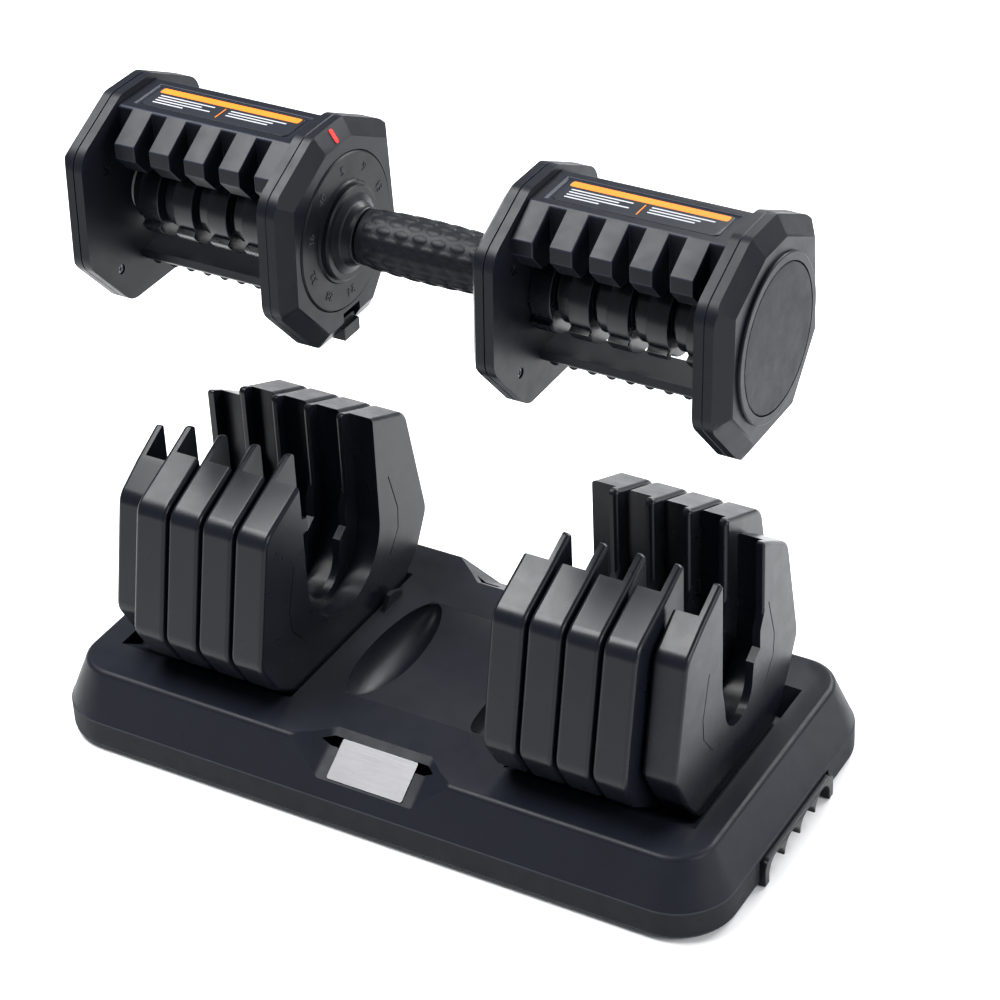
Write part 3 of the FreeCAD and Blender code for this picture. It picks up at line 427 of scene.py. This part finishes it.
def strip(name, low, high, top, radius, material, segments=5):
    """Thin printed patch with rounded corners."""
    corners = ((high[0] - radius, high[1] - radius, 0), (low[0] + radius, high[1] - radius, 90),
               (low[0] + radius, low[1] + radius, 180), (high[0] - radius, low[1] + radius, 270))
    outline = []
    for x, y, start in corners:
        for i in range(segments + 1):
            angle = math.radians(start + 90 * i / segments)
            outline.append((x + radius * math.cos(angle), y + radius * math.sin(angle)))
    count = len(outline)
    points = [(x * MM, y * MM, (top - PRINT_THICKNESS) * MM) for x, y in outline]
    points += [(x * MM, y * MM, top * MM) for x, y in outline]
    faces = [tuple(reversed(range(count))), tuple(range(count, 2 * count))]
    for i in range(count):
        j = (i + 1) % count
        faces.append((i, j, count + j, count + i))
    piece = mesh_piece(name, points, faces)
    dress(piece, "dumbbell_frame", material)


def make_label_print(side):
    """Generic print on one label: an orange band, a divider and plain lines, no lettering."""
    low, high = (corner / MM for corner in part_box(f"{side}_label"))
    top = high.z + PRINT_RISE
    strip(f"{side}_label_band", (low.x + BAND_INSET, high.y - BAND_BOTTOM),
          (high.x - BAND_INSET, high.y - BAND_TOP), top, BAND_CORNER, ORANGE)
    middle = (low.x + high.x) / 2
    strip(f"{side}_label_divider", (middle - DIVIDER_HALF_WIDTH, low.y + DIVIDER_BOTTOM),
          (middle + DIVIDER_HALF_WIDTH, high.y - DIVIDER_TOP), top, DIVIDER_CORNER, ORANGE)
    for block, start, rows in (("a", low.x + 5, 4), ("b", middle + 4, 3)):
        for row in range(rows):
            length = LINE_LENGTH - LINE_SHORTER * (row % 2)
            if row == rows - 1:
                length -= LAST_LINE_SHORTER
            y = high.y - FIRST_LINE - row * LINE_PITCH
            strip(f"{side}_label_line_{block}{row + 1}", (start, y - LINE_HALF_HEIGHT),
                  (start + length, y + LINE_HALF_HEIGHT), top, LINE_CORNER, PALE, 2)


make_grip()
make_numbers()
for side in SIDES:
    make_label_print(side)


# ---------------------------------------------------------------- floor, lights, camera

FLOOR_HALF_SIZE = 6
WORLD_COLOUR = (0.93, 0.95, 1.0, 1)
WORLD_STRENGTH = 0.32
LIGHT_TARGET = (0, 0, 0.2)
# Name, place, size of the panel, power in watts.
LIGHTS = (
    ("key", (-0.7, -0.2, 1.8), (1.2, 0.8), 72),
    ("back", (0.4, 1.6, 1.2), (1.8, 0.6), 60),
    ("side", (1.8, -0.1, 0.9), (0.9, 0.9), 24),
)
CAMERA_PLACE = Vector((0.76003, -1.20873, 1.11977))
CAMERA_RIGHT = Vector((0.87020, 0.49117, -0.03884))
CAMERA_UP = Vector((-0.24528, 0.50023, 0.83043))
CAMERA_LENS_MM = 108.67
CAMERA_SENSOR_MM = 36


def make_floor():
    size = FLOOR_HALF_SIZE
    corners = [(-size, -size, 0), (size, -size, 0), (size, size, 0), (-size, size, 0)]
    floor = mesh_piece("floor", corners, [(0, 1, 2, 3)])
    n = Nodes("pale_floor")
    n.shader.inputs["Base Color"].default_value = (0.86, 0.86, 0.87, 1)
    n.roughness(n.spread(n.noise(3, 3), 0.3, 0.7, 0.7, 0.8))
    floor.data.materials.append(n.material)


def area_light(name, place, size, power):
    data = bpy.data.lights.new(name, "AREA")
    data.shape = "RECTANGLE"
    data.size, data.size_y = size
    data.energy = power
    lamp = link(bpy.data.objects.new(name, data))
    lamp.location = place
    away = Vector(LIGHT_TARGET) - Vector(place)
    lamp.rotation_euler = away.to_track_quat("-Z", "Y").to_euler()


def make_lights():
    world = bpy.data.worlds.new("studio")
    world.use_nodes = True
    backdrop = world.node_tree.nodes["Background"]
    backdrop.inputs["Color"].default_value = WORLD_COLOUR
    backdrop.inputs["Strength"].default_value = WORLD_STRENGTH
    bpy.context.scene.world = world
    for light in LIGHTS:
        area_light(*light)


def make_camera():
    """Above, in front and to the right of the tray."""
    turn = Matrix((CAMERA_RIGHT, CAMERA_UP, CAMERA_RIGHT.cross(CAMERA_UP))).transposed()
    data = bpy.data.cameras.new("camera")
    data.sensor_width = CAMERA_SENSOR_MM
    data.lens = CAMERA_LENS_MM
    camera = link(bpy.data.objects.new("camera", data))
    camera.matrix_world = Matrix.Translation(CAMERA_PLACE) @ turn.to_4x4()
    bpy.context.scene.camera = camera


make_floor()
make_lights()
make_camera()
bpy.context.scene.view_settings.view_transform = "Standard"
